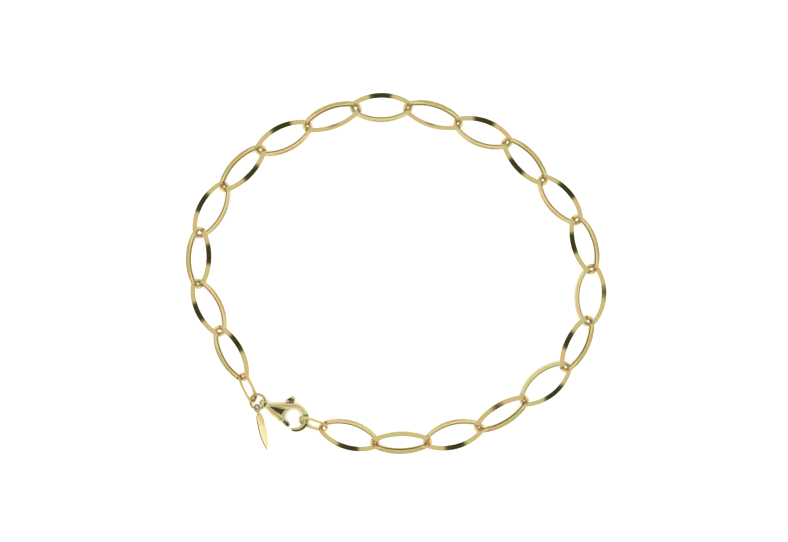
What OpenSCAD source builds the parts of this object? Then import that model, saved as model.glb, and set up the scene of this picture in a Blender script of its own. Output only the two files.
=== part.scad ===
// Link bracelet: large oval links that lean on each other in turn, closed by a claw clasp,
// with a small tag on the clasp's ring. It lies on a flat surface, as a hand has laid it down.
// Millimetres, Z up. The origin is on the surface, under the middle of the bracelet's outline.

/* [Large links] */
// Length of a large link, over its two tips
link_l = 10.5; // [9.5:0.1:12]
// Width of a large link, over its two ridges
link_w = 6.3; // [5.6:0.1:7.2]
// Radius of a large link's tips, at the ridge
link_tip_r = 2; // [1.8:0.05:2.3]
// Width of the wire's flat inner face
wire_w = 0.9; // [0.8:0.02:1]
// Depth of the wire, from its inner face to its ridge
wire_h = 0.52; // [0.44:0.02:0.58]
// Flat left on the wire's ridge and on its two side edges
wire_edge = 0.06; // [0.04:0.01:0.1]
// Most free play between two large links along the chain
link_play = 1.05; // [0.9:0.05:1.3]

/* [End links] */
// Length of the two small end links, over their tips
end_l = 5.4; // [5.2:0.1:6.2]
// Width of the two small end links
end_w = 2.65; // [2.5:0.05:3]
// Thickness of their round wire
end_wire = 0.45; // [0.36:0.01:0.5]
// Angle that they lean over, about their length
end_lean = 50; // [46:1:54]
// Free play of an end link on the jump ring or the claw
end_play = 0.4; // [0.3:0.05:0.5]
// Free play of an end link on its large link
chain_play = 0.62; // [0.4:0.02:0.8]

/* [Jump ring] */
// Outer diameter of the jump ring
ring_d = 2.96; // [2.8:0.02:3.4]
// Thickness of the jump ring's round wire
ring_wire = 0.42; // [0.34:0.02:0.48]

/* [Tag] */
// Length of the tag's leaf, from its loop to its point
tag_l = 6.6; // [5:0.2:9]
// Width of the leaf
tag_w = 1.9; // [1.6:0.1:2.2]
// Thickness of the tag
tag_t = 0.25; // [0.2:0.01:0.3]
// Outer diameter of the tag's loop
tag_loop_d = 1.38; // [1.3:0.02:1.6]
// Diameter of the hole in the loop
tag_hole_d = 0.98; // [0.9:0.02:1.1]
// Angle that the tag leans over, about its length
tag_lean = 54; // [50:1:58]

/* [Clasp] */
// Thickness of the clasp's body
clasp_t = 1.9; // [1.8:0.05:2.2]
// Distance from the eye's centre to the claw's centre
clasp_l = 5.3; // [5:0.1:6]
// Radius of the claw's opening
claw_r = 1.6; // [1.5:0.05:1.8]
// Width of the claw where it is widest
claw_w = 1; // [0.9:0.05:1.1]
// Width of the eye, along its hole
eye_w = 0.9; // [0.7:0.05:1]
// Diameter of the eye's hole
eye_hole_d = 1.08; // [1:0.02:1.16]

/* [Lever] */
// Thickness of the lever where it runs inside the body
lever_t = 0.6; // [0.5:0.05:0.7]
// Width of the lever's two arms
lever_w = 0.72; // [0.6:0.02:0.8]
// Height of the thumb piece above the claw
thumb_h = 0.85; // [0.6:0.05:1.1]
// Diameter of the rivet
rivet_d = 0.4; // [0.36:0.02:0.5]
// Running clearance between the lever and the body
lever_gap = 0.06; // [0.05:0.01:0.08]

/* [Hidden] */
$fn = 96;
gold = "#dcc98a";
bright_gold = "#e6d69c";

// The route of the chain: one row for each large link, from the jump ring's end round to the
// claw's. Heading is the way that the link points, in degrees. Lean turns it about its length,
// positive with the outer side high. Nose lifts its front end. Play is its free play on the
// link behind it, as a share of link_play.
HEAD = 0;
LEAN = 1;
NOSE = 2;
PLAY = 3;
ROUTE = [
    [115, -43, 8, 0],
    [115, 45, 0, 0.87],
    [87, -43.5, 4, 0.65],
    [62.5, 43.5, 1.5, 0.92],
    [45, -44.5, 2.5, 0.6],
    [27, 44, 2, 0.77],
    [21.5, -45, -3, 0.62],
    [1, 42, -1, 0.87],
    [-17, -43, 0, 0.59],
    [-20.5, 43, -3, 0.61],
    [-46, -44, -2, 0.7],
    [-49.5, 43.5, -2.5, 0.7],
    [-72, -41, -4.5, 0.76],
    [-94.5, 36, -3, 0.68],
    [-117, -45, 1.5, 0.8],
    [-142, 38, -1, 0.72],
    [-150, -48.5, 0, 0.54],
    [-165.5, 43, 2, 0.6],
    [-180, -51, 0, 0.5],
    [-198, 41.5, -3, 0.56]
];
count = len(ROUTE);

// Directions in the clasp's group at the head of the chain, in degrees
end_1_head = 114;
ring_to_end_1 = 136;
ring_to_tag = -96;
tag_head = -77.5;
ring_to_eye = -20;
clasp_head = -28;
claw_to_end_2 = 13;
end_2_head = 162.5;

// Sections of the claw, from the eye round to its tip, seen from the claw's centre: angle in
// degrees, radius as a share of claw_r, or of clasp_l near the eye, width as a share of claw_w,
// and thickness as a share of clasp_t. The end link crosses the claw near angle 13, at claw_end_r.
claw_end_r = 1.37 * claw_r;
CLAW = [
    [178, 0.9 * clasp_l, 0.8, 0.8],
    [175, 0.83 * clasp_l, 0.8, 0.82],
    [171, 0.74 * clasp_l, 0.86, 0.88],
    [164, 0.63 * clasp_l, 1.06, 0.95],
    [154.5, 1.7 * claw_r, 1.3, 1],
    [137.5, 1.41 * claw_r, 1.28, 0.98],
    [115, 1.36 * claw_r, 1.1, 0.9],
    [90, 1.33 * claw_r, 1.04, 0.78],
    [60, 1.32 * claw_r, 1, 0.6],
    [30, claw_end_r, 1, 0.45],
    [0, claw_end_r, 0.92, 0.41],
    [-30, 1.3 * claw_r, 0.76, 0.42],
    [-55, 1.2 * claw_r, 0.68, 0.44],
    [-70, 1.14 * claw_r, 0.6, 0.43],
    [-75, 1.12 * claw_r, 0.42, 0.32],
    [-77, 1.115 * claw_r, 0.14, 0.1]
];

// The lower branch, from the eye to its round end past the rivet: distance along the clasp and
// across it, width as a share of claw_w, and thickness as a share of clasp_t
LOWER = [
    [-0.9 * clasp_l, -0.15, 0.75, 0.8],
    [-0.8 * clasp_l, -0.33, 0.84, 0.84],
    [-0.66 * clasp_l, -0.58, 1.02, 0.9],
    [-0.5 * clasp_l, -0.73, 1.2, 0.94],
    [-0.36 * clasp_l, -0.86, 1.34, 0.94],
    [-0.29 * clasp_l, -0.95, 1.24, 0.88],
    [-0.245 * clasp_l, -1.02, 0.92, 0.72],
    [-0.226 * clasp_l, -1.06, 0.44, 0.38]
];

// The gate, from the rivet to its end: distance along the clasp and across it, width as a share
// of lever_w, and thickness as a share of lever_t
GATE = [
    [0.76, -0.18, 0.5, 0.5],
    [0.82, -0.2, 1.02, 1.25],
    [1.2, -0.32, 1.14, 1.45],
    [1.55, -0.45, 1, 1.3],
    [1.73, -0.52, 0.7, 0.9],
    [1.78, -0.54, 0.3, 0.4]
];

// The rivet's place, from the claw's centre along the clasp and across it
pivot = [-0.335 * clasp_l, -0.6 * claw_r];

// The web between the two branches, as corners along the clasp and across it
WEB = [
    [-0.88 * clasp_l, -0.25], pivot, pivot + [0.1, 0.5], [pivot.x + 0.13, 0],
    [pivot.x + 0.25, 0.6], [pivot.x + 0.5, 1.2], [-0.6 * clasp_l, 1.1], [-0.88 * clasp_l, 0.25]
];
web_t = 0.66 * clasp_t;

// The raised rim that closes the web towards the claw's opening, seen from the claw's centre:
// radius as a share of claw_r, first and last angle, width and thickness
RIM = [1.15, 144, 206, 0.44, 0.8 * clasp_t];

// The lever, as corners from the rivet: the middle line of its long arm, the neck from the hub to
// the gate, and the thumb piece above the end of the arm
arm_top = 1.56 * claw_r - pivot.y;
ARM = [[0, 0], [-0.1, 0.5], [-0.16, 1], [-0.06, 1.5], [0.16, 2], [0.24, 2.6], [0.18, arm_top]];
NECK = [[0, -lever_w / 2], [1, -0.56], [1, 0.04], [0, lever_w / 2]];
THUMB = [
    [-0.74, arm_top - 0.36], [0.62, arm_top + 0.1], [0.55, arm_top + 0.75 * thumb_h],
    [0.34, arm_top + thumb_h], [0.02, arm_top + thumb_h], [-0.2, arm_top + 0.76 * thumb_h]
];
thumb_t = 1.5 * lever_t;
hub_r = lever_w / 2 + 0.1;
lever_swing = 30;

// Room in the body: beside the lever's faces, round its edges, over the thumb piece and round
// the gate, whose room ends before the claw's tip
slot_t = lever_t + 2 * lever_gap;
slot_grow = lever_gap + 0.03;
slot_over = 2;
gate_room = [1.3, 2.4];
pin_gap = 0.02;
pin_h = 0.9 * clasp_t;

// Names of the nodes
function link_name(i) = str("link_", i < 9 ? "0" : "", i + 1);

function along(angle, distance = 1) = distance * [cos(angle), sin(angle)];
function turned(p, angle) = [p.x * cos(angle) - p.y * sin(angle), p.x * sin(angle) + p.y * cos(angle)];

// An oval of four arcs that meet smoothly: half length a, half width b and tip radius r
function side_r(a, b, r) = (a * a + b * b - 2 * a * r) / (2 * (b - r));
function tip_turn(a, b, r) = atan2(side_r(a, b, r) - b, a - r);
function oval(a, b, r, h = 0) =
    let (big = side_r(a, b, r), turn = tip_turn(a, b, r))
    [for (side = [0, 180], k = [-12 : 12])
        let (t = k / 12 * 90, on_tip = abs(t) < turn, arc = on_tip ? r : big,
            centre = on_tip ? [a - r, 0] : [0, t > 0 ? b - big : big - b],
            p = turned(centre + along(t, arc), side))
        [p.x, p.y, h]];

// Height of a point of a link that leans and lifts its nose, over the link's own centre
function height(p, lean, nose) = p.x * sin(nose) + (p.y * sin(lean) + p.z * cos(lean)) * cos(nose);
function drop(points, lean, nose) = -min([for (p = points) height(p, lean, nose)]);

// A link's edges that can touch the surface. The links with the outer side high lie a little
// higher, with their tips over those of the others.
side_in = wire_h - wire_edge;
link_edges = concat(
    oval(link_l / 2, link_w / 2, link_tip_r, -wire_edge / 2),
    oval(link_l / 2 - side_in, link_w / 2 - side_in, link_tip_r - side_in, -wire_w / 2));
tip_extra = 0.01;
outer_lift = 0.25;
function link_z(i) = drop(link_edges, ROUTE[i][LEAN], ROUTE[i][NOSE]) + tip_extra
    + (ROUTE[i][LEAN] > 0 && i < count - 1 ? outer_lift : 0);

// Distance from a large link's centre to the middle of its tip's wire, and to a joint
link_hold = (link_l - wire_h) / 2;
function reach(i, play) = cos(ROUTE[i][NOSE]) * (link_l / 2 - wire_h - play * link_play / 2);

// Small end links: middle line of the wire, and the slope that lets one rest on the surface
// while it holds a piece at height z at its far end
end_tip_share = 0.92;
end_tip_r = end_tip_share * (end_w - end_wire) / 2;
end_line = oval((end_l - end_wire) / 2, (end_w - end_wire) / 2, end_tip_r);
function end_z(slope) = drop(end_line, end_lean, slope) + end_wire / 2 + tip_extra;
end_hold = end_l / 2 - end_wire - end_play;
end_reach = end_l / 2 - end_wire - chain_play - wire_h / 2;
function end_slope(z, slope = 12, tries = 12) =
    tries == 0 ? slope
    : end_slope(z, (slope + asin((z - end_z(slope)) / end_reach)) / 2, tries - 1);

// The group at the clasp, seen from the jump ring's centre. The ring hangs a little low in the
// eye, which lies a little outside its middle line. The tag's loop lies a little inside it.
ring_low = 0.1;
ring_out = 0.05;
tag_in = 0.12;
end_1_out = 0.1;
group_z = clasp_t / 2 + tip_extra;
ring_z = group_z - ring_low;
ring_r = (ring_d - ring_wire) / 2;
eye_at = along(ring_to_eye, ring_r + ring_out);
claw_at = eye_at + along(clasp_head, clasp_l);
first_nose_z = link_z(0) - link_hold * sin(ROUTE[0][NOSE]);
last_nose_z = link_z(count - 1) + link_hold * sin(ROUTE[count - 1][NOSE]);
end_1_slope = end_slope(first_nose_z);
end_2_slope = -end_slope(last_nose_z);
end_1_at = along(ring_to_end_1, ring_r)
    + along(end_1_head, cos(end_1_slope) * (end_hold + end_1_out - ring_wire / 2));
claw_wire_at = claw_at + along(clasp_head + claw_to_end_2, claw_end_r);
end_2_at = claw_wire_at
    - along(end_2_head, cos(end_2_slope) * (end_hold - claw_w / 2));
group_start = end_2_at - along(end_2_head, cos(end_2_slope) * end_reach);
group_end = end_1_at + along(end_1_head, cos(end_1_slope) * end_reach);

// The loop is closed by turning every heading a little, so that the links' own lengths bring
// the chain from the ring back to the claw. Each link adds about pitch_share of its length.
pitch_share = 0.9;
group_span = group_end - group_start;
function heading(h, fix) = h + fix.x * cos(h) + fix.y * sin(h);
function link_dir(i, fix) = along(heading(ROUTE[i][HEAD], fix));
function span(fix) =
    link_hold * (link_dir(0, fix) + link_dir(count - 1, fix))
    + sum([for (i = [1 : count - 1])
        reach(i - 1, ROUTE[i][PLAY]) * link_dir(i - 1, fix) + reach(i, ROUTE[i][PLAY]) * link_dir(i, fix)])
    + turned(group_span, heading(group_head, fix) - group_head);
function sum(v, i = 0) = i == len(v) - 1 ? v[i] : v[i] + sum(v, i + 1);
group_head = atan2(group_span.y, group_span.x);
function closing(fix, tries = 30) =
    let (open = span(fix), length = count * link_l * pitch_share)
    tries == 0 ? fix : closing(fix + 2 / length * 180 / PI * [-open.y, open.x], tries - 1);
fix = closing([0, 0]);
group_turn = heading(group_head, fix) - group_head;

// Centres of the large links, seen from the jump ring's centre
function centres(i, at) = i == count ? [] :
    let (here = i == 0
        ? turned(group_end, group_turn) + link_hold * link_dir(0, fix)
        : at + reach(i - 1, ROUTE[i][PLAY]) * link_dir(i - 1, fix)
            + reach(i, ROUTE[i][PLAY]) * link_dir(i, fix))
    concat([here], centres(i + 1, here));
LINK_AT = centres(0, [0, 0]);

// Outline of the whole bracelet, to find its middle
tag_far = ring_r + tag_loop_d / 2 + tag_l;
outline = concat(
    [turned(along(tag_head, tag_far), group_turn)],
    [for (i = [0 : count - 1], p = oval(link_l / 2, link_w / 2, link_tip_r))
        LINK_AT[i] + turned([p.x, p.y * cos(ROUTE[i][LEAN])], heading(ROUTE[i][HEAD], fix))]);
middle = [for (axis = [0, 1])
    let (all = [for (p = outline) p[axis]]) (min(all) + max(all)) / 2];

// The wire is a hundredth of a millimetre fuller round the tips than along the sides, and each
// side runs a little way into the tips, in degrees, so that the four bends are one solid
side_into = 0.4;
module oval_wire(a, b, r, knife) {
    big = side_r(a, b, r);
    turn = tip_turn(a, b, r);
    for (side = [0, 180])
        rotate(side) {
            translate([a - r, 0]) rotate(-turn) rotate_extrude(angle = 2 * turn)
                wire_section(r, knife, tip_extra);
            translate([0, b - big]) rotate(turn - side_into)
                rotate_extrude(angle = 180 - 2 * turn + 2 * side_into) wire_section(big, knife, 0);
        }
}

// A large link's wire has a flat inner face, two bevels and a narrow ridge outside. An end
// link's wire is round, and r is then the radius of its middle line.
module wire_section(r, knife, extra) {
    inner = r - wire_h;
    if (knife)
        polygon([
            [inner - extra, -wire_w / 2 - extra], [inner + wire_edge, -wire_w / 2 - extra],
            [r + extra, -wire_edge / 2], [r + extra, wire_edge / 2],
            [inner + wire_edge, wire_w / 2 + extra], [inner - extra, wire_w / 2 + extra]]);
    else
        translate([r, 0]) circle(d = end_wire + 2 * extra);
}

module large_link(i) {
    color(gold)
    translate([LINK_AT[i].x - middle.x, LINK_AT[i].y - middle.y, link_z(i)])
    rotate(heading(ROUTE[i][HEAD], fix)) rotate([0, -ROUTE[i][NOSE], 0]) rotate([ROUTE[i][LEAN], 0, 0])
    oval_wire(link_l / 2, link_w / 2, link_tip_r, true);
}

// Places a piece of the clasp's group, from the jump ring's centre
module in_group(at, head, z) {
    translate([-middle.x, -middle.y, z]) rotate(group_turn) translate([at.x, at.y, 0]) rotate(head)
        children();
}

module small_link(at, head, lean, slope) {
    color(gold)
    in_group(at, head, end_z(abs(slope)))
    rotate([0, -slope, 0]) rotate([lean, 0, 0])
    oval_wire((end_l - end_wire) / 2, (end_w - end_wire) / 2, end_tip_r, false);
}

module end_link_1() small_link(end_1_at, end_1_head, end_lean, end_1_slope);
module end_link_2() small_link(end_2_at, end_2_head, -end_lean, end_2_slope);

module jump_ring() {
    color(gold)
    in_group([0, 0], 0, ring_z) rotate_extrude() translate([ring_r, 0]) circle(d = ring_wire);
}

// The tag is a bare leaf of sheet with a pierced loop at its head. It hangs from the ring by
// the loop and leans with its left edge high.
leaf_lap = 0.1;
leaf_gap = 0.02;
module tag() {
    leaf_r = (tag_l * tag_l / 4 + tag_w * tag_w / 4) / tag_w;
    leaf_x = tag_loop_d / 2 + tag_l / 2 - leaf_lap;
    leaf_drop = tag_w / 2 * sin(tag_lean) + tag_t / 2 * cos(tag_lean) + leaf_gap;
    nose = -asin((ring_z - leaf_drop) / leaf_x);
    color(bright_gold)
    in_group(along(ring_to_tag, ring_r - tag_in), tag_head, ring_z)
    rotate([0, -nose, 0]) rotate([-tag_lean, 0, 0])
    translate([0, 0, -tag_t / 2])
    difference() {
        union() {
            cylinder(d = tag_loop_d, h = tag_t);
            translate([leaf_x, 0, 0]) intersection() {
                translate([0, leaf_r - tag_w / 2, 0]) cylinder(r = leaf_r, h = tag_t);
                translate([0, tag_w / 2 - leaf_r, 0]) cylinder(r = leaf_r, h = tag_t);
            }
        }
        translate([0, 0, -1]) cylinder(d = tag_hole_d, h = tag_t + 2);
    }
}

// A smooth list through the rows of a table, with n steps from each row to the next
function blend(a, b, c, d, t) =
    0.5 * (2 * b + (c - a) * t + (2 * a - 5 * b + 4 * c - d) * t * t + (3 * b - a - 3 * c + d) * t * t * t);
function smooth(rows, n) = concat(
    [for (i = [0 : len(rows) - 2], j = [0 : n - 1])
        blend(rows[max(i - 1, 0)], rows[i], rows[i + 1], rows[min(i + 2, len(rows) - 1)], j / n)],
    [rows[len(rows) - 1]]);

// A bar with oval sections. Each station is its place, its width and its thickness.
module bar(stations) {
    sides = 16;
    last = len(stations) - 1;
    points = [for (i = [0 : last])
        let (ahead = stations[min(i + 1, last)], back = stations[max(i - 1, 0)],
            way = atan2(ahead.y - back.y, ahead.x - back.x), s = stations[i])
        for (k = [0 : sides - 1])
            let (t = 360 * k / sides, p = [s.x, s.y] + along(way + 90, s[2] / 2 * cos(t)))
            [p.x, p.y, s[3] / 2 * sin(t)]];
    polyhedron(points, concat(
        [[for (k = [0 : sides - 1]) k]],
        [for (i = [0 : last - 1], k = [0 : sides - 1])
            let (a = i * sides + k, b = i * sides + (k + 1) % sides)
            [a, a + sides, b + sides, b]],
        [[for (k = [sides - 1 : -1 : 0]) last * sides + k]]));
}

claw_line = [for (row = smooth(CLAW, 3))
    let (p = along(row[0], row[1])) [p.x, p.y, row[2] * claw_w, row[3] * clasp_t]];
lower_line = [for (row = smooth(LOWER, 3)) [row.x, row.y, row[2] * claw_w, row[3] * clasp_t]];
rim_line = [for (k = [0 : 8])
    let (p = along(RIM[1] + (RIM[2] - RIM[1]) * k / 8, RIM[0] * claw_r)) [p.x, p.y, RIM[3], RIM[4]]];

// The clasp's body: an eye for the ring, an upper branch that runs on into the claw, a lower
// branch to the rivet, and a thinner web between them. A slot through its middle lets the
// lever swing.
module clasp_body() {
    color(gold)
    in_group(claw_at, clasp_head, group_z)
    difference() {
        union() {
            bar(claw_line);
            bar(lower_line);
            bar(rim_line);
            translate([-clasp_l, 0, 0]) rotate([90, 0, 0]) cylinder(r = clasp_t / 2, h = eye_w, center = true);
            linear_extrude(web_t, center = true) polygon(WEB);
        }
        translate([-clasp_l, 0, 0]) rotate([90, 0, 0]) cylinder(d = eye_hole_d, h = 3 * eye_w, center = true);
        translate([pivot.x, pivot.y, 0]) cylinder(d = rivet_d + 2 * pin_gap, h = 2 * clasp_t, center = true);
        lever_slot();
    }
}

// One edge of the lever's long arm, right (1) or left (-1) of its middle line
function arm_edge(side, grow = 0) = [for (p = ARM) [p.x + side * (lever_w / 2 + grow), p.y]];
function reversed(v) = [for (i = [len(v) - 1 : -1 : 0]) v[i]];

// Room for the lever between the clasp's two cheeks, from its place at rest to its widest swing
module lever_slot() {
    linear_extrude(slot_t, center = true) translate(pivot) {
        circle(r = hub_r + slot_grow);
        for (turn = [0, lever_swing / 3, 2 * lever_swing / 3, lever_swing + 1])
            rotate(turn) {
                polygon(concat(
                    arm_edge(1, slot_grow), [[0, arm_top + slot_over]], reversed(arm_edge(-1, slot_grow))));
                translate([0, -gate_room.y / 2]) square(gate_room);
            }
    }
}

// The lever turns on the rivet: its long arm goes up through the slot to the thumb piece, and
// its short arm is the gate that closes the claw.
module clasp_lever() {
    color(bright_gold)
    in_group(claw_at, clasp_head, group_z)
    translate(pivot)
    difference() {
        union() {
            cylinder(r = hub_r, h = lever_t, center = true);
            linear_extrude(lever_t, center = true) {
                polygon(concat(arm_edge(1), reversed(arm_edge(-1))));
                polygon(NECK);
            }
            linear_extrude(thumb_t, center = true) polygon(THUMB);
            bar([for (row = smooth(GATE, 2)) [row.x, row.y, row[2] * lever_w, row[3] * lever_t]]);
        }
        cylinder(d = rivet_d + 2 * lever_gap, h = 2 * clasp_t, center = true);
    }
}

module lever_pin() {
    color(gold)
    in_group(claw_at, clasp_head, group_z)
    translate(pivot) cylinder(d = rivet_d, h = pin_h, center = true);
}

for (i = [0 : count - 1])
    large_link(i);
end_link_1();
end_link_2();
jump_ring();
tag();
clasp_body();
clasp_lever();
lever_pin();
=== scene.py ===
import math

import bpy
import numpy as np
from mathutils import Matrix, Vector


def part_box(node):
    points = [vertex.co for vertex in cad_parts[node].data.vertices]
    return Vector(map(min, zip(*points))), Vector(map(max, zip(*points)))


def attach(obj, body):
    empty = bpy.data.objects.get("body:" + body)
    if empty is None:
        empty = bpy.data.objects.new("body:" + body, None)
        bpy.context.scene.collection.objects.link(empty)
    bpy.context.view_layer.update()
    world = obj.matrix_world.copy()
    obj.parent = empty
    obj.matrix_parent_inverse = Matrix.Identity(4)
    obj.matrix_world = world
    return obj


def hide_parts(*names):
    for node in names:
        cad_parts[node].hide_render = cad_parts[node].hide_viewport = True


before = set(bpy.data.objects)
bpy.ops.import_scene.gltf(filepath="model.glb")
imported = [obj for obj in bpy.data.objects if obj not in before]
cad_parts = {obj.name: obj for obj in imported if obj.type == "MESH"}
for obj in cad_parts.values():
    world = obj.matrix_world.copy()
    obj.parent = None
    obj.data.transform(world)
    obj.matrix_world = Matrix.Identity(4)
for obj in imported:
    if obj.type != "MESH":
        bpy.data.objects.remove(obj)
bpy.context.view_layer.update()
MM = 0.001

# The camera looks straight down on the bracelet, as in the photograph, from a little under half
# a metre, and is turned by a quarter of a degree. Its height and the width that it sees at the
# surface are in millimetres, as all sizes below are.
camera_height = 450
width_in_view = 132.4
bpy.ops.object.camera_add(location=(-0.23 * MM, 0.48 * MM, camera_height * MM),
                          rotation=(0, 0, math.radians(-0.26)))
camera = bpy.context.object
camera.data.sensor_width = 36
camera.data.lens = camera.data.sensor_width * camera_height / width_in_view
camera.data.clip_start = 0.01
bpy.context.scene.camera = camera


# Large links: 14 carat gold wire, drawn with a knife edge, bent to an oval, soldered and
# polished. Each is bent here from its section, by five spins, and laid where its solid lies.
def colour(code):
    parts = [int(code[i:i + 2], 16) / 255 for i in (1, 3, 5)]
    return [c / 12.92 if c <= 0.04045 else ((c + 0.055) / 1.055) ** 2.4 for c in parts] + [1]


def add_node(tree, kind, inputs, **settings):
    node = tree.nodes.new("ShaderNode" + kind)
    for name, value in settings.items():
        setattr(node, name, value)
    for name, value in inputs.items():
        if isinstance(value, bpy.types.NodeSocket):
            tree.links.new(value, node.inputs[name])
        else:
            node.inputs[name].default_value = value
    return node


def polished_gold(name, yellow, rosy, roughness, dent, depth):
    """Polished gold alloy. The eye sees a mirror that is never quite true: dent is the width in
    millimetres of the soft hollows that the wheel leaves, and depth how deep they are. The
    colour drifts over 3 mm between a yellower and a rosier gold, and the haze of wear over 0.7."""
    material = bpy.data.materials.new(name)
    material.use_nodes = True
    tree = material.node_tree
    tree.nodes.clear()
    place = add_node(tree, "TexCoord", {}).outputs["Object"]
    drift = add_node(tree, "TexNoise", {"Vector": place, "Scale": 1 / (3 * MM), "Detail": 1.0})
    ramp = add_node(tree, "ValToRGB", {"Fac": drift.outputs["Fac"]})
    first, last = ramp.color_ramp.elements
    first.position, last.position = 0.38, 0.62
    first.color, last.color = colour(yellow), colour(rosy)
    dents = add_node(tree, "TexNoise", {"Vector": place, "Scale": 1 / (dent * MM), "Detail": 2.0})
    bump = add_node(tree, "Bump", {"Height": dents.outputs["Fac"], "Distance": depth * MM,
                                   "Strength": 1.0})
    wear = add_node(tree, "TexNoise", {"Vector": place, "Scale": 1 / (0.7 * MM), "Detail": 3.0})
    haze = add_node(tree, "MapRange", {"Value": wear.outputs["Fac"], "From Min": 0.3, "From Max": 0.7,
                                       "To Min": roughness * 0.8, "To Max": roughness * 1.25})
    metal = add_node(tree, "BsdfPrincipled", {"Base Color": ramp.outputs["Color"], "Metallic": 1.0,
                                              "Roughness": haze.outputs["Result"],
                                              "Normal": bump.outputs["Normal"]})
    add_node(tree, "OutputMaterial", {"Surface": metal.outputs["BSDF"]})
    return material


def deselect():
    if bpy.context.mode != "OBJECT":
        bpy.ops.object.mode_set(mode="OBJECT")
    bpy.ops.object.select_all(action="DESELECT")


def bend_oval(name, half_l, half_w, tip_r, corners, rounding, steps, facet=60):
    """An oval of wire round the origin. corners are the section's corners: how far each lies
    inside the oval's outer line, and how high. Each spin carries the section round one arc.
    Faces that meet at more than facet degrees keep their edge."""
    side_r = (half_l ** 2 + half_w ** 2 - 2 * half_l * tip_r) / (2 * (half_w - tip_r))
    tip_turn = math.atan2(side_r - half_w, half_l - tip_r)
    side_turn = math.pi - 2 * tip_turn
    deselect()
    bpy.ops.mesh.primitive_circle_add(vertices=len(corners), radius=half_w * MM)
    link = bpy.context.object
    link.name = link.data.name = name
    for vertex, (inside, high) in zip(link.data.vertices, corners):
        vertex.co = ((half_l - inside) * MM, 0, high * MM)
    bpy.ops.object.mode_set(mode="EDIT")
    bpy.ops.mesh.select_all(action="SELECT")
    if rounding:
        bpy.ops.mesh.bevel(offset=rounding * MM, segments=3, affect="VERTICES", clamp_overlap=True)
        bpy.ops.mesh.select_all(action="SELECT")
    for x, y, angle, count in (
            (half_l - tip_r, 0, tip_turn, steps),
            (0, half_w - side_r, side_turn, 2 * steps),
            (tip_r - half_l, 0, 2 * tip_turn, 2 * steps),
            (0, side_r - half_w, side_turn, 2 * steps),
            (half_l - tip_r, 0, tip_turn, steps)):
        bpy.ops.mesh.spin(steps=count, angle=angle, center=(x * MM, y * MM, 0), axis=(0, 0, -1))
    bpy.ops.mesh.select_all(action="SELECT")
    bpy.ops.mesh.remove_doubles(threshold=0.002 * MM)
    bpy.ops.mesh.normals_make_consistent(inside=False)
    bpy.ops.object.mode_set(mode="OBJECT")
    bpy.ops.object.shade_smooth_by_angle(angle=math.radians(facet))
    return link


def lie_of(node):
    """Where a symmetrical solid lies: its middle, and its long, cross and thin directions, from
    the spread of its surface. The cross and thin directions point up."""
    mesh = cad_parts[node].data
    mesh.calc_loop_triangles()
    points = np.array([v.co for v in mesh.vertices])
    corners = points[np.array([t.vertices for t in mesh.loop_triangles])]
    low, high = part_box(node)
    corners = corners - np.array((low + high) / 2)
    area = np.linalg.norm(np.cross(corners[:, 1] - corners[:, 0], corners[:, 2] - corners[:, 0]), axis=1)
    middles = corners.mean(1)
    spread = np.einsum("n,ni,nj->ij", area, middles, middles)
    thin, cross, long = np.linalg.eigh(spread)[1].T
    cross = cross if cross[2] > 0 else -cross
    thin = thin if thin[2] > 0 else -thin
    long = np.cross(cross, thin)
    return Matrix.Translation((low + high) / 2) @ Matrix(np.array([long, cross, thin]).T).to_4x4()


def settle(piece, node, body="bracelet"):
    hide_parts(node)
    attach(piece, body)


# The section, 0.52 mm deep and 0.9 mm high: an inner face rounded like a ring's, with a fine draw
# line along it on each side, and two flat bevels that meet in the knife edge
knife = [(0.465, -0.45), (0.5, -0.36), (0.516, -0.14), (0.52, 0), (0.516, 0.14), (0.512, 0.21),
         (0.51, 0.245), (0.5, 0.36), (0.465, 0.45), (0.23, 0.229), (0, 0.014), (0, -0.014),
         (0.23, -0.229)]
half_l, half_w, tip_r = 5.25, 3.15, 2
tip_x = half_l - tip_r
side_r = 7.169
side_y = side_r - half_w
# Up to this angle, seen from a tip's middle, the wire belongs to the tip
tip_ends = 1.09
# Along the link, the wire has its own fullness up to this far from the middle
side_span = 4.6
pattern = bend_oval("pattern_link", half_l, half_w, tip_r, knife, rounding=0.012, steps=14, facet=9)
# The wire is fuller along the two sides than round the tips, where bending has drawn it thinner
tip_fullness, side_fullness = 1.2, 0.13
for vertex in pattern.data.vertices:
    x, y, z = vertex.co / MM
    fuller = tip_fullness + side_fullness * max(0, 1 - (x / side_span) ** 2)
    if math.atan2(abs(y), abs(x) - tip_x) < tip_ends:
        centre = math.copysign(tip_x, x)
        from_middle = math.hypot(x - centre, y)
        kept = (tip_r - (tip_r - from_middle) * fuller) / from_middle
        x, y = centre + (x - centre) * kept, y * kept
    else:
        centre = -math.copysign(side_y, y)
        from_middle = math.hypot(x, y - centre)
        kept = (side_r - (side_r - from_middle) * fuller) / from_middle
        x, y = x * kept, centre + (y - centre) * kept
    vertex.co = (x * MM, y * MM, z * fuller * MM)

# Drawn wire, polished on the wheel: long clear reflections on the two bevels
link_gold = polished_gold("knife_wire_gold", "#bdb77a", "#cab07c", 0.13, 1.6, 0.008)
# Painted shade: the inner face's low edge, its draw line and its ends near the tips are painted a
# duller, darker brown gold, which stands in for the shade and dark reflections along the inner edge
shaded_inner_gold = polished_gold("painted_shade_inner_edge", "#67501c", "#70541f", 0.3, 0.8, 0.004)
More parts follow.
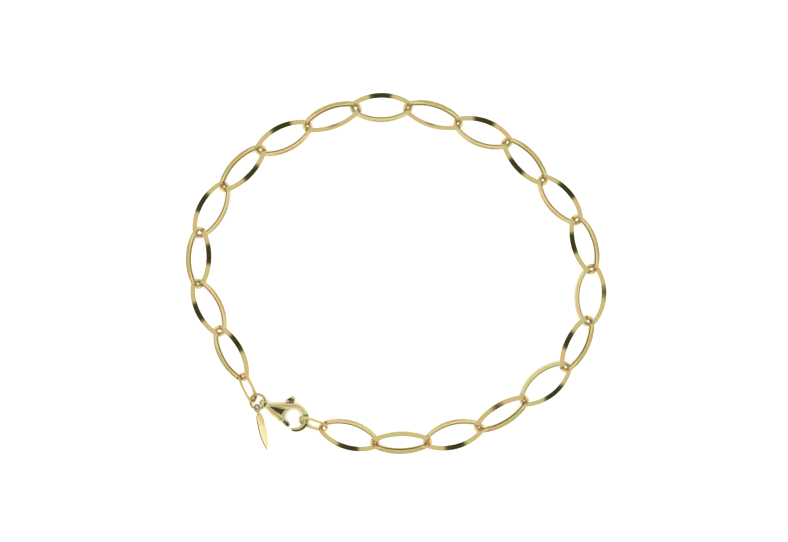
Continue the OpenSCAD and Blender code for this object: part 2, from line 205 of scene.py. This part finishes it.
# Where link meets link, at the two ends, a warmer and darker satin gold is painted: painted shade
# between the interlocked links
contact_shade_gold = polished_gold("painted_contact_shade", "#a48648", "#ac8c52", 0.3, 0.4, 0.004)
for material in (link_gold, shaded_inner_gold, contact_shade_gold):
    pattern.data.materials.append(material)
for polygon in pattern.data.polygons:
    x, y, z = polygon.center / MM
    if math.atan2(abs(y), abs(x) - tip_x) < tip_ends:
        depth = tip_r - math.hypot(abs(x) - tip_x, y)
    else:
        depth = side_r - math.hypot(x, abs(y) + side_y)
    inner_face = depth > 0.5
    # These masks pick the faces that get the painted shade: the low edge and the draw line of the inner
    # face, and the inner face near the tips
    low_edge, draw_line, inner_tip = -0.42 < z < -0.12, 0.26 < z < 0.3, abs(x) > 4.2
    # Painted shade on the inner tips, where the neighbouring links pass through
    shaded_contact = 0.3 < depth < 0.52 and abs(x) > 4.35 and abs(z) > 0.3
    if shaded_contact:
        polygon.material_index = 2
    else:
        polygon.material_index = int(inner_face and (low_edge or draw_line or inner_tip))

# On some links the wheel has taken more from one bevel, and along the two sides the knife edge
# lies off the middle of the wire. The shift is given for the number of a link, and fades out
# towards the inner face and towards the tips.
sides_from, wire_depth = 1.4, 0.5
edge_off = {2: -0.03, 7: 0.15, 8: 0.02, 9: 0.19, 13: 0.03, 16: 0.09, 17: 0.02, 19: 0.1, 20: 0.03}
for number in range(1, 21):
    node = f"link_{number:02d}"
    link = pattern.copy()
    link.data = pattern.data.copy()
    link.name = link.data.name = f"oval_{node}"
    bpy.context.scene.collection.objects.link(link)
    for vertex in link.data.vertices:
        x, y, z = vertex.co / MM
        if number in edge_off and abs(y) > sides_from:
            depth = side_r - math.hypot(x, abs(y) + side_y)
            near_edge = max(0, 1 - depth / wire_depth)
            near_middle = max(0, 1 - (x / side_span) ** 4)
            vertex.co.z += edge_off[number] * near_edge * near_middle * MM
    link.data.transform(lie_of(node))
    settle(link, node)
    lowest = min(vertex.co.z for vertex in link.data.vertices)
    link.data.transform(Matrix.Translation((0, 0, max(0, -lowest))))
bpy.data.objects.remove(pattern)


# Two small end links, of thin round wire of the same gold, soldered shut. One holds the chain on
# the jump ring, the other is what the claw catches. The first has painted shade where it meets the ring.
def finish(piece, material):
    piece.data.materials.clear()
    piece.data.materials.append(material)


# Round wire, tumbled bright: the eye sees one soft highlight along each turn of it
small_gold = polished_gold("round_wire_gold", "#c6c07c", "#ccb67a", 0.14, 0.8, 0.004)
wire_r = 0.235
round_wire = [(wire_r - wire_r * math.cos(k * math.pi / 8), wire_r * math.sin(k * math.pi / 8))
              for k in range(16)]
end_half_l, end_half_w = 2.715, 1.32
end_tip_r = 0.92 * (end_half_w - wire_r) + wire_r
for node in ("end_link_1", "end_link_2"):
    link = bend_oval("small_" + node, end_half_l, end_half_w, end_tip_r, round_wire, rounding=0,
                     steps=12)
    finish(link, small_gold)
    link.data.materials.append(contact_shade_gold)
    # Painted shade on the first end link's tip, where the jump ring passes through it
    for polygon in link.data.polygons:
        x, y, z = polygon.center / MM
        inner_tip = 1.9 < abs(x) < 2.5 and abs(y) < 0.9
        polygon.material_index = int(node == "end_link_1" and inner_tip)
    link.data.transform(lie_of(node))
    settle(link, node)


# The jump ring: a turn of round gold wire, closed by hand, so that its two cut ends meet in a
# fine seam. It joins the chain, the tag and the clasp's eye.
ring_wire = 0.22
full_turn_but_seam = math.radians(359.2)
seam_at = math.radians(70)
low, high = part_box("jump_ring")
ring_middle = (low + high) / 2
deselect()
bpy.ops.mesh.primitive_circle_add(vertices=20, radius=ring_wire * MM, fill_type="NGON",
                                  rotation=(math.pi / 2, 0, 0))
ring = bpy.context.object
ring.name = ring.data.name = "closed_jump_ring"
bpy.ops.object.transform_apply(rotation=True)
ring.data.transform(Matrix.Translation(((high.x - low.x) / 2 - ring_wire * MM, 0, 0)))
bpy.ops.object.mode_set(mode="EDIT")
bpy.ops.mesh.select_all(action="SELECT")
bpy.ops.mesh.spin(steps=72, angle=full_turn_but_seam, center=(0, 0, 0), axis=(0, 0, -1))
bpy.ops.mesh.select_all(action="SELECT")
bpy.ops.mesh.normals_make_consistent(inside=False)
bpy.ops.object.mode_set(mode="OBJECT")
bpy.ops.object.shade_smooth_by_angle(angle=math.radians(50))
ring.data.transform(Matrix.Translation(ring_middle) @ Matrix.Rotation(seam_at, 4, "Z"))
settle(ring, "jump_ring")
finish(ring, small_gold)


# The tag: a bare leaf cut from gold sheet, with a pierced loop that hangs from the jump ring. Its
# edges are tumbled round, and carry painted shade, darker than the two polished faces.
def soft_copy(name, node):
    """A copy of a solid with its loose triangles merged, to be softened by modifiers."""
    deselect()
    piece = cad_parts[node].copy()
    piece.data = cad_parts[node].data.copy()
    piece.name = piece.data.name = name
    for key in list(piece.keys()):
        del piece[key]
    piece.parent = None
    bpy.context.scene.collection.objects.link(piece)
    bpy.context.view_layer.objects.active = piece
    piece.select_set(True)
    bpy.ops.object.mode_set(mode="EDIT")
    bpy.ops.mesh.select_all(action="SELECT")
    bpy.ops.mesh.remove_doubles(threshold=0.004 * MM)
    bpy.ops.object.mode_set(mode="OBJECT")
    return piece


def apply_modifier(piece, kind, **settings):
    modifier = piece.modifiers.new(kind.lower(), kind)
    for name, value in settings.items():
        setattr(modifier, name, value)
    bpy.context.view_layer.objects.active = piece
    bpy.ops.object.modifier_apply(modifier=modifier.name)


def shade_smooth(piece):
    for polygon in piece.data.polygons:
        polygon.use_smooth = True


def eased(value, first, last):
    """How far value is on its way from first to last, from 0 to 1, with a soft start and end."""
    share = max(0, min(1, (value - first) / (last - first)))
    return share * share * (3 - 2 * share)


# Rolled sheet, polished flat: a pale, even and slightly hazy mirror
sheet_gold = polished_gold("sheet_gold", "#f8eeb8", "#f6e8b0", 0.28, 1.2, 0.003)
# Painted shade: the cut edge is painted as a dark olive line, with a satin roughness
shaded_edge_gold = polished_gold("painted_shade_edge", "#6e6636", "#7a6a3c", 0.3, 0.4, 0.004)
tag = soft_copy("leaf_tag", "tag")
apply_modifier(tag, "REMESH", mode="VOXEL", voxel_size=0.035 * MM)
apply_modifier(tag, "SMOOTH", factor=0.5, iterations=6)
leaf = lie_of("tag")
if (leaf.inverted() @ ring_middle).x > 0:
    leaf = leaf @ Matrix.Rotation(math.pi, 4, "Z")
in_leaf = leaf.inverted()
head = min((in_leaf @ vertex.co).x for vertex in tag.data.vertices)
loop_r, loop_and_neck = 0.69, 1.25
# The leaf has broad shoulders below its loop, and is bent to lie flatter than the loop
for vertex in tag.data.vertices:
    x, y, z = (in_leaf @ vertex.co) / MM
    down = x - head / MM - loop_r
    y *= 1 + 0.8 * eased(down, 0.4, 1.1) * (1 - eased(down, 0.9, 3))
    vertex.co = leaf @ (Vector((x, y, z)) * MM)
    vertex.co.z *= 1 - 0.45 * eased(down, 0.2, 2.2)
apply_modifier(tag, "SMOOTH", factor=0.5, iterations=12)
shade_smooth(tag)
settle(tag, "tag")
finish(tag, sheet_gold)
tag.data.materials.append(shaded_edge_gold)
tag.data.materials.append(contact_shade_gold)
through_sheet = leaf.to_3x3().col[2]
for polygon in tag.data.polygons:
    # The loop round the jump ring gets the painted contact shade
    round_loop = (in_leaf @ polygon.center).x < head + loop_and_neck * MM
    # The cut edge gets the painted dark olive shade
    cut_edge = abs(polygon.normal @ through_sheet) < 0.5
    polygon.material_index = 2 if round_loop else int(cut_edge)


# The clasp's body: a claw cast in gold in one piece, with the eye, the two branches and the web
# between them, tumbled and polished, so that every edge of the casting is soft.
def in_clasp(point):
    """Where a point lies in millimetres, seen from the rivet: along the clasp, across it, up."""
    x, y, z = (point - rivet) / MM
    along = x * math.cos(clasp_turn) + y * math.sin(clasp_turn)
    across = y * math.cos(clasp_turn) - x * math.sin(clasp_turn)
    return along, across, z


# Cast gold, tumbled and polished: a soft mirror, a little rosier than the wire
cast_gold = polished_gold("cast_gold", "#c8c28a", "#d0b888", 0.15, 0.9, 0.008)
clasp_turn = math.radians(-27.7)
low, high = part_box("lever_pin")
rivet = (low + high) / 2
body = soft_copy("claw_body", "clasp_body")
apply_modifier(body, "REMESH", mode="VOXEL", voxel_size=0.04 * MM)
# The claw's upper face is filed flat along its outer edge, round the claw's middle, but not where
# the end link crosses it. The three tables go round it by angle, in degrees: how far out the
# claw's own middle line runs, how high the filed land lies, and where the file has been.
claw_along, claw_across = 1.776, 0.96
file_slope = 0.55
for vertex in body.data.vertices:
    along, across, z = in_clasp(vertex.co)
    along, across = along - claw_along, across - claw_across
    angle = math.degrees(math.atan2(across, along))
    middle_line = np.interp(angle, [-77, -55, -30, 0, 60], [1.78, 1.92, 2.08, 2.19, 2.11])
    outward = math.hypot(along, across) - middle_line
    if z > 0 and outward > -0.2:
        land = np.interp(angle, [-70, 0, 30, 60], [0.369, 0.351, 0.387, 0.513])
        filed = np.interp(angle, [-76, -66, 4, 13, 22, 40, 55], [0, 1, 1, 0, 1, 1, 0])
        vertex.co.z += filed * min(1, z / 0.2) * (min(z + file_slope * outward, land) - z) * MM
apply_modifier(body, "SMOOTH", factor=0.5, iterations=8)
shade_smooth(body)
settle(body, "clasp_body")
finish(body, cast_gold)


# The lever: stamped from thicker gold plate, with a gate that closes the claw and a thumb piece
# that stands above it. It turns on the rivet.

# Stamped plate, tumbled only: a softer mirror than the casting's, with finer dents
lever_gold = polished_gold("stamped_gold", "#c4bc90", "#cab688", 0.2, 0.5, 0.008)
lever = soft_copy("thumb_lever", "clasp_lever")
apply_modifier(lever, "REMESH", mode="VOXEL", voxel_size=0.03 * MM)
apply_modifier(lever, "SMOOTH", factor=0.5, iterations=4)
# The gate is struck flat on its two faces and a little wider, and the thumb piece thins towards
# its top
gate_half_t = 0.34
thumb_foot, thumb_h = 3.6, 0.7
for vertex in lever.data.vertices:
    along, across, z = in_clasp(vertex.co)
    on_gate = along > 0.8 and across < 0.5
    if on_gate:
        z = max(-gate_half_t, min(gate_half_t, z))
        across += 0.15 * (across + 0.28 * along)
    if across > thumb_foot:
        z *= 1 - 0.45 * min(1, (across - thumb_foot) / thumb_h) ** 2
    x = along * math.cos(clasp_turn) - across * math.sin(clasp_turn)
    y = along * math.sin(clasp_turn) + across * math.cos(clasp_turn)
    vertex.co = rivet + Vector((x, y, z)) * MM
apply_modifier(lever, "SMOOTH", factor=0.5, iterations=2)
shade_smooth(lever)
settle(lever, "clasp_lever", "lever")
finish(lever, lever_gold)


# The rivet: a short pin of the same gold, put through the body and the lever, with its two heads
# rounded over by hammering.

# Hammered and not polished since: a satin dome without a clear reflection
hammered_gold = polished_gold("hammered_gold", "#d2c88c", "#d4bc84", 0.5, 0.3, 0.01)
pin = soft_copy("domed_rivet", "lever_pin")
apply_modifier(pin, "BEVEL", width=0.14 * MM, segments=5, limit_method="ANGLE")
shade_smooth(pin)
settle(pin, "lever_pin")
finish(pin, hammered_gold)


# The surface is a plain white card, bright enough to print white. The light is a white tent all
# round, with one dark round opening over the bracelet where the camera stands, and a soft lamp
# for the card alone.
deselect()
bpy.ops.mesh.primitive_plane_add(size=6, location=(0, 0, -0.02 * MM))
floor = bpy.context.object
floor.name = "white_surface"
card = bpy.data.materials.new("white_card")
card.use_nodes = True
card.node_tree.nodes.clear()
plain = add_node(card.node_tree, "BsdfPrincipled", {"Base Color": colour("#f4f4f4"), "Roughness": 0.7})
add_node(card.node_tree, "OutputMaterial", {"Surface": plain.outputs["BSDF"]})
floor.data.materials.append(card)

bpy.ops.object.light_add(type="SUN", location=(0, 0, 1))
lamp = bpy.context.object
lamp.name = "soft_lamp_on_the_card"
lamp.data.energy = 2.6
lamp.data.angle = math.radians(80)
lamp.visible_glossy = False

opening_tilt = math.radians(2)
opening_inner, opening_outer = math.radians(17), math.radians(24)
tent = bpy.data.worlds.new("tent")
bpy.context.scene.world = tent
tent.use_nodes = True
tree = tent.node_tree
tree.nodes.clear()
way = add_node(tree, "TexCoord", {}).outputs["Generated"]
opening = Vector((0, math.sin(opening_tilt), math.cos(opening_tilt)))
nearness = add_node(tree, "VectorMath", {0: way, 1: opening}, operation="DOT_PRODUCT").outputs["Value"]
edge = add_node(tree, "MapRange", {"Value": nearness, "From Min": math.cos(opening_outer),
                                   "From Max": math.cos(opening_inner)},
                interpolation_type="SMOOTHSTEP").outputs["Result"]
light = add_node(tree, "Mix", {"Factor": edge, 6: colour("#ffffff"), 7: colour("#484e36")},
                 data_type="RGBA")
sky = add_node(tree, "Background", {"Color": light.outputs[2], "Strength": 1.1})
add_node(tree, "OutputWorld", {"Surface": sky.outputs["Background"]})

bpy.context.scene.view_settings.view_transform = "Standard"
